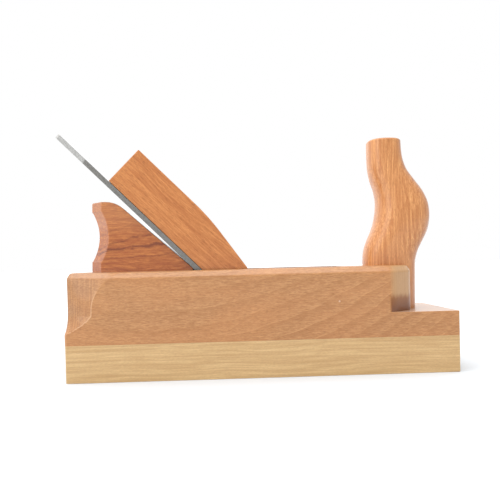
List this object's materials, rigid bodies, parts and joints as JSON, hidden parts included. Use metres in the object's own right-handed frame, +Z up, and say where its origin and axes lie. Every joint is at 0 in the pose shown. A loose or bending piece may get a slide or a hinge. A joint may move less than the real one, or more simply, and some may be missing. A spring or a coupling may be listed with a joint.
{
  "type": "hand plane",
  "caption": "Wooden hand plane with a front horn, a rear hand rest, a pale hardwood sole and a single iron held at 45 degrees by a forked wedge.",
  "frame": {"origin": "centre of the sole's underside, on the plane's centre line", "axes": "+X along the sole towards the toe (the horn end), +Y across the plane to its left side, +Z up"},
  "size_m": [0.2444, 0.064, 0.1513],
  "materials": {
    "body_beech": "satin oiled beech, pinkish tan, fine fleck",
    "sole_hornbeam": "satin oiled hornbeam, pale yellow, fine straight grain",
    "horn_beech": "satin oiled beech, sanded round",
    "rest_beech": "satin oiled red-brown beech with dark streaks",
    "wedge_beech": "satin oiled orange beech",
    "dowel_beech": "plain turned beech",
    "iron_steel": "ground tool steel, brighter at the top end",
    "screw_steel": "plain steel"
  },
  "bodies": {
    "plane_body": {"body_block": "body_beech", "sole": "sole_hornbeam", "front_horn": "horn_beech", "hand_rest": "rest_beech", "horn_screw": "screw_steel", "hand_rest_dowel_front": "dowel_beech", "hand_rest_dowel_rear": "dowel_beech"},
    "iron": {"cutting_iron": "iron_steel"},
    "wedge": {"wedge": "wedge_beech"}
  },
  "joints": [
    {"name": "iron_slide", "type": "slide", "parent": "plane_body", "child": "iron", "axis": [-0.7071, 0, 0.7071], "range_m": [-0.0014, 0.095]},
    {"name": "wedge_slide", "type": "slide", "parent": "plane_body", "child": "wedge", "axis": [-0.7071, 0, 0.7071], "range_m": [0, 0.07]}
  ]
}
